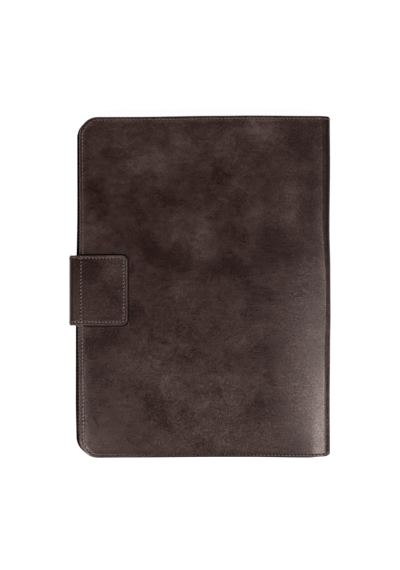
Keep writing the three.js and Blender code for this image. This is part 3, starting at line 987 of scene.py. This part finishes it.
def lining_material(name, inside):
    """Dark nap, paler by a given tone further inside. Near black at the front panel's lip as painted shade in
    the gap between the panels, and paler low down on the lip as painted light.
    """
    g = Nodes(name)
    nap = g.noise(g.place, size=0.7, detail=4.0, roughness=0.65)
    share = g.layered(g.product(nap, FINE_SHARE), (g.noise(g.place, size=25.0), BROAD_SHARE))
    lip = g.product(g.fade(g.x, -119.1, -118.7), g.fade(g.x, -113.0, -112.0, 1.0, 0.0))
    lip_light_tone = g.product(lip, g.fade(g.y, -20.0, -60.0, 0.0, 0.8), g.fade(g.y, -136.0, -146.0, 1.0, 0.15))
    inside_tone = g.fade(g.x, -113.0, -106.0, 0.0, inside)
    return g.finish(
        Base_Color=g.ramp(g.sum(share, lip_light_tone, inside_tone), LINING_TONES),
        Roughness=0.92,
        Normal=g.bump(nap, strength=0.4, depth=0.2),
        Specular_IOR_Level=0.03,
    )


def thread_place_tone(g):
    """Painted light and shade on the thread: paler low on the fore-edge and at its top corner, darker between
    them and along both ends.
    """
    fore_edge = g.fade(g.x, -100.0, -112.0)
    fore_tone = g.sum(g.fade(g.y, -40.0, -110.0, 0.0, 0.5), g.fade(g.y, 20.0, 60.0, 0.0, -0.25))
    fore_tone = g.sum(fore_tone, g.fade(g.y, 120.0, 146.0, 0.0, 0.34))
    bottom = g.fade(g.y, -153.0, -160.0)
    bottom_tone = g.sum(g.fade(g.x, 20.0, 100.0, -0.44, 0.1), g.fade(g.x, 104.0, 114.0, 0.0, -0.2))
    top_tone = g.fade(g.y, 145.0, 156.0, 0.0, -0.14)
    return g.layered(top_tone, (bottom, bottom_tone), (fore_edge, fore_tone))


def thread_material(name, stops, gloss, light_and_shade_by_place=False):
    g = Nodes(name)
    fibre = g.noise(g.place, size=0.3, roughness=0.6)
    share = g.layered(g.product(fibre, FINE_SHARE), (g.noise(g.place, size=9.0, detail=2.0), BROAD_SHARE))
    if light_and_shade_by_place:
        share = g.sum(share, thread_place_tone(g))
    return g.finish(
        Base_Color=g.ramp(share, stops),
        Roughness=0.6,
        Normal=g.bump(fibre, strength=0.5, depth=0.1),
        Specular_IOR_Level=gloss,
    )


def hole_material():
    g = Nodes("needle_hole")
    colour = g.ramp(g.noise(g.place, size=0.5), HOLE_SHADE_TONES)
    return g.finish(Base_Color=colour, Roughness=0.95, Specular_IOR_Level=0.1)


def metal_material():
    g = Nodes("antique_metal")
    tarnish = g.noise(g.place, size=2.5, detail=4.0, roughness=0.6)
    scratch = g.noise(g.stretch(g.place, 1.0, 12.0, 1.0), size=0.8, detail=2.0)
    return g.finish(
        Base_Color=g.ramp(tarnish, TARNISH_TONES),
        Metallic=1.0,
        Roughness=g.fade(tarnish, 0.3, 0.7, 0.5, 0.28),
        Normal=g.bump(scratch, strength=0.15, depth=0.05),
    )


def floor_material():
    g = Nodes("pale_floor")
    return g.finish(
        Base_Color=g.ramp(g.noise(g.place, size=300.0, detail=2.0), FLOOR_TONES),
        Roughness=0.9,
        Specular_IOR_Level=0.1,
        Emission_Color=(1.0, 1.0, 1.0, 1.0),
        Emission_Strength=FLOOR_GLOW,
    )


# Pieces. Waves of the soft panels: height, lengths along X and Y, and phase
PanelWave = namedtuple("PanelWave", "height x_length y_length phase")
PANEL_WAVES = [PanelWave(0.10, 23.0, 61.0, 0.7), PanelWave(0.08, -47.0, 31.0, 2.1)]
STILL_BEFORE_SPINE = 15.0
STILL_ROUND_STRAP = 25.0
SLUMP = 1.0
SLUMP_REACH = 2.5
SLUMP_LOW_Y = -90.0
SLUMP_HIGH_Y = -30.0


def cover_panel(s, y):
    """Slow waves of the soft panel, stilled near the strap's seat, and a fore-edge that slumps low down."""
    x, _ = COVER.point(s)
    on_back = 1 - smoothstep(s, SPINE_START - STILL_BEFORE_SPINE, SPINE_START)
    waves = sum(
        wave.height * np.sin(x / wave.x_length + y / wave.y_length + wave.phase) for wave in PANEL_WAVES)
    from_strap = np.maximum(x - STRAP_SEWN_END_X, np.abs(y - STRAP_MIDDLE_Y) - STRAP_WIDTH / 2)
    waves = waves * on_back * smoothstep(from_strap, 0.0, STILL_ROUND_STRAP)
    slump = SLUMP * np.exp(-np.maximum(s - COVER_SEAM.start, 0.0) / SLUMP_REACH)
    slump = slump * (1 - smoothstep(y, SLUMP_LOW_Y, SLUMP_HIGH_Y))
    return waves - slump


STRAP_SEAM_X = -114.7
STRAP_SEAM_S = STRAP.where_x(STRAP_SEAM_X, STRAP.length / 2, STRAP.length)


def strap_panel(s, y):
    """The cover's seam passes over the strap and presses a valley across it."""
    dent = bump_at(from_needle(y, STRAP_STITCH.pitch), 0.0, NEEDLE_WIDTH)
    needle = NEEDLE_DEPTH * dent * bump_at(s, STRAP_SEAM_S, NEEDLE_WIDTH)
    return -SEAM_DEPTH * bump_at(s, STRAP_SEAM_S, SEAM_WIDTH) - needle


SPAN_DIGITS = 6


def spans(*stretches):
    """Places along a line, evenly spaced in each stretch of (start, end, step)."""
    places = [
        np.linspace(start, end, max(2, round((end - start) / step) + 1)) for start, end, step in stretches]
    return np.unique(np.round(np.concatenate(places), SPAN_DIGITS))


PANEL_STEP = 3.5
FOLD_STEP = 1.1
FOLD_BEFORE_SPINE = 12.0
FOLD_PAST_SPINE = 6.0
RIDGE_STEP = 0.5
RIDGE_REACH = 4.0
COVER_INSET = 9.5
STRAP_INSET = 5.2
STRAP_STEP = 1.6
SEAM_STEP = 0.3
SEAM_REACH = 2.4
CROSS_SEAM_POINTS = 80
STITCH_CLEARANCE = 1.0
COVER_SHEET = Sheet(
    COVER, HEIGHT, CORNER_RADIUS, COVER_INSET, COVER_SEAM, COVER_WALL, COVER_STITCH, cover_panel, place_cover)
STRAP_SHEET = Sheet(
    STRAP, STRAP_WIDTH, STRAP_CORNER_RADIUS, STRAP_INSET, STRAP_SEAM, STRAP_WALL, STRAP_STITCH,
    strap_panel, place_strap)

leather = leather_material("cover_leather", COVER_LEATHER, cover_wear_and_shading)
strap_leather = leather_material("strap_leather", STRAP_LEATHER, strap_wear_and_shading)
lining = lining_material("dark_lining", inside=0.11)
# Near-black backing flange past the strap's edge: painted shadow of the strap on the cover
backing = lining_material("painted_shadow_backing", inside=0.0)
thread = thread_material("waxed_thread", THREAD_TONES, gloss=0.5, light_and_shade_by_place=True)
dark_thread = thread_material("dark_thread", DARK_THREAD_TONES, gloss=0.05)
hole = hole_material()
metal = metal_material()


def clear_of_strap(s, y):
    under = (s < CORNER_RADIUS) & (np.abs(y - STRAP_MIDDLE_Y) < STRAP_WIDTH / 2 + STITCH_CLEARANCE)
    return ~under


def low_at_spine(s, y):
    x, _ = COVER.point(s)
    return (x > CORNER_HOLES_FROM_X) & (s < SPINE_START) & (y < 0)


def build_cover():
    columns = spans(
        (0.0, SPINE_START - FOLD_BEFORE_SPINE, PANEL_STEP),
        (SPINE_START - FOLD_BEFORE_SPINE, SPINE_START - RIDGE_REACH, FOLD_STEP),
        (SPINE_START - RIDGE_REACH, SPINE_START + RIDGE_REACH, RIDGE_STEP),
        (SPINE_START + RIDGE_REACH, FRONT_START + FOLD_PAST_SPINE, FOLD_STEP),
        (FRONT_START + FOLD_PAST_SPINE, COVER.length, PANEL_STEP),
    )
    flat = FlatSheet(COVER_SHEET, columns, PANEL_STEP)
    cover = sheet_mesh("cover_shell", flat, [leather, lining], FRONT_START)
    line = flat.seam_line()
    inner_thread = -COVER_WALL - OUTER_THREAD
    outer_run = stitch_tubes(line, COVER_STITCH, OUTER_THREAD, 1, clear_of_strap)
    inner_run = stitch_tubes(line, COVER_STITCH, inner_thread, -1)
    stitches = join_runs("cover_stitches", [outer_run], COVER_SHEET, thread)
    inner_stitches = join_runs("inner_stitches", [inner_run], COVER_SHEET, dark_thread)
    dots = [
        needle_holes(line, COVER_HOLE, OUTER_THREAD, 1, clear_of_strap),
        needle_holes(line, CORNER_HOLE, OUTER_THREAD, 1, low_at_spine),
        needle_holes(line, INNER_HOLE, inner_thread, -1),
    ]
    holes = join_runs("cover_needle_holes", dots, COVER_SHEET, hole)
    return cover, stitches, inner_stitches, holes


def build_strap():
    columns = spans(
        (0.0, STRAP_SEAM_S - SEAM_REACH, STRAP_STEP),
        (STRAP_SEAM_S - SEAM_REACH, STRAP_SEAM_S + SEAM_REACH, SEAM_STEP),
        (STRAP_SEAM_S + SEAM_REACH, STRAP.length, STRAP_STEP),
    )
    flat = FlatSheet(STRAP_SHEET, columns, STRAP_STEP)
    strap = sheet_mesh("strap_shell", flat, [strap_leather, backing])
    edge = flat.seam_line()
    reach = STRAP_WIDTH / 2 - STRAP_SEAM.top / 2
    cross_y = np.linspace(-reach, reach, CROSS_SEAM_POINTS)
    across = np.tile([1.0, 0.0], (CROSS_SEAM_POINTS, 1))
    cross = SeamLine(pairs(STRAP_SEAM_S, cross_y), across, STRAP_STITCH.pitch, closed=False)
    cross_thread = SEAM_DEPTH + OUTER_THREAD
    runs = [
        stitch_tubes(edge, STRAP_STITCH, OUTER_THREAD, 1),
        stitch_tubes(cross, STRAP_STITCH, cross_thread, 1),
    ]
    stitches = join_runs("strap_stitches", runs, STRAP_SHEET, thread)
    dots = [
        needle_holes(edge, STRAP_HOLE, OUTER_THREAD, 1),
        needle_holes(cross, CROSS_HOLE, cross_thread, 1),
    ]
    holes = join_runs("strap_needle_holes", dots, STRAP_SHEET, hole)
    return strap, stitches, holes


SNAP_SIDES = 48
SNAP_MIDDLE = (SNAP_LOW + SNAP_HIGH) / 2
SNAP_CAP_RADIUS = (SNAP_HIGH[0] - SNAP_LOW[0]) / 2
SNAP_CAP_HEIGHT = 0.9
SNAP_DOME_HEIGHT = 0.63
SNAP_DOME_ANGLES = np.linspace(0.05, math.pi / 2, 9)
SNAP_POST_RADIUS = 2.5
WasherRing = namedtuple("WasherRing", "radius below_top")
SNAP_WASHER = [WasherRing(*row) for row in (
    (2.5, 0.8), (5.5, 0.8), (5.5, 0.2), (5.2, 0.0), (3.1, 0.1), (2.5, 0.45), (0.4, 0.45),
)]


def build_snap():
    """Turned press stud with a low domed cap and a dished washer."""
    profile = [
        (SNAP_CAP_RADIUS * math.sin(angle), SNAP_DOME_HEIGHT * (1 - math.cos(angle)))
        for angle in SNAP_DOME_ANGLES]
    profile += [(SNAP_CAP_RADIUS, SNAP_CAP_HEIGHT), (SNAP_POST_RADIUS, SNAP_CAP_HEIGHT)]
    profile += [(ring.radius, SNAP_HIGH[2] - ring.below_top) for ring in SNAP_WASHER]
    turn = full_turn(SNAP_SIDES)
    radius, height = (np.array(column)[:, None] for column in zip(*profile))
    x = SNAP_MIDDLE[0] + radius * np.cos(turn)
    y = SNAP_MIDDLE[1] + radius * np.sin(turn)
    points = np.stack([x, y, np.broadcast_to(height, x.shape)], axis=-1).reshape(-1, 3) * MM
    return add_mesh("snap_stud", points, tube_faces(1, len(profile), SNAP_SIDES), [metal])


cover, cover_stitches, inner_stitches, cover_holes = build_cover()
strap, strap_stitches, strap_holes = build_strap()
snap = build_snap()

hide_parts("cover")
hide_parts("closure_strap")
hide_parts("snap_fastener")
for piece, slot in (
    (cover, "cover_leather"), (cover_stitches, "cover_leather"), (cover_holes, "cover_leather"),
    (inner_stitches, "cover_leather"),
    (strap, "strap_leather"), (strap_stitches, "strap_leather"), (strap_holes, "strap_leather"),
    (snap, "snap_metal"),
):
    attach(piece, "root")

# Floor, light and camera. Places and sizes of floor and lights are in metres
FLOOR_GAP = 0.0004
FLOOR_REACH = 4.0
Softbox = namedtuple("Softbox", "name place aim size power")
SOFTBOXES = [
    Softbox("key_right", (0.68, -0.27, 1.0), (0.08, -0.08, 0.0), 0.30, 9.4),
    Softbox("fill_low_left", (-0.55, -0.6, 0.8), (-0.02, -0.05, 0.0), 0.5, 11.0),
]
WORLD_STRENGTH = 0.05


def add_floor():
    sides = [(-1, -1), (1, -1), (1, 1), (-1, 1)]
    corners = np.array([(FLOOR_REACH * x, FLOOR_REACH * y, -FLOOR_GAP) for x, y in sides])
    floor = add_mesh("floor", corners, [(0, 1, 2, 3)], [floor_material()])


def add_softbox(softbox):
    data = bpy.data.lights.new(softbox.name, "AREA")
    data.shape = "RECTANGLE"
    data.size = softbox.size
    data.size_y = softbox.size
    data.energy = softbox.power
    light = add_object(softbox.name, data)
    light.location = softbox.place
    way = np.array(softbox.aim) - np.array(softbox.place)
    yaw = math.atan2(way[1], way[0]) + math.pi / 2
    pitch = math.atan2(-way[2], math.hypot(way[0], way[1]))
    light.rotation_euler = (math.pi / 2 - pitch, 0.0, yaw + math.pi)


def add_world():
    world = bpy.data.worlds.new("studio")
    world.use_nodes = True
    background = world.node_tree.nodes["Background"]
    background.inputs["Color"].default_value = (1.0, 1.0, 1.0, 1.0)
    background.inputs["Strength"].default_value = WORLD_STRENGTH
    bpy.context.scene.world = world


# Photo frame: 400 by 570 pixels at 0.9635 mm a pixel, its middle just above the folio's middle
PIXEL_MM = 0.9635
FRAME_HEIGHT_PX = 570
FRAME_MIDDLE = (-0.15, 1.57)
FRAME_Z = 26.0
CAMERA_DISTANCE = 2200.0
CAMERA_CLIP_END = 20.0
SENSOR = 36.0


def add_camera():
    data = bpy.data.cameras.new("camera")
    data.sensor_fit = "VERTICAL"
    data.sensor_height = SENSOR
    data.lens = SENSOR * CAMERA_DISTANCE / (FRAME_HEIGHT_PX * PIXEL_MM)
    data.clip_end = CAMERA_CLIP_END
    camera = add_object("camera", data)
    camera.location = np.array([*FRAME_MIDDLE, FRAME_Z + CAMERA_DISTANCE]) * MM
    bpy.context.scene.camera = camera


add_floor()
for softbox in SOFTBOXES:
    add_softbox(softbox)
add_world()
add_camera()
bpy.context.scene.view_settings.view_transform = "Standard"
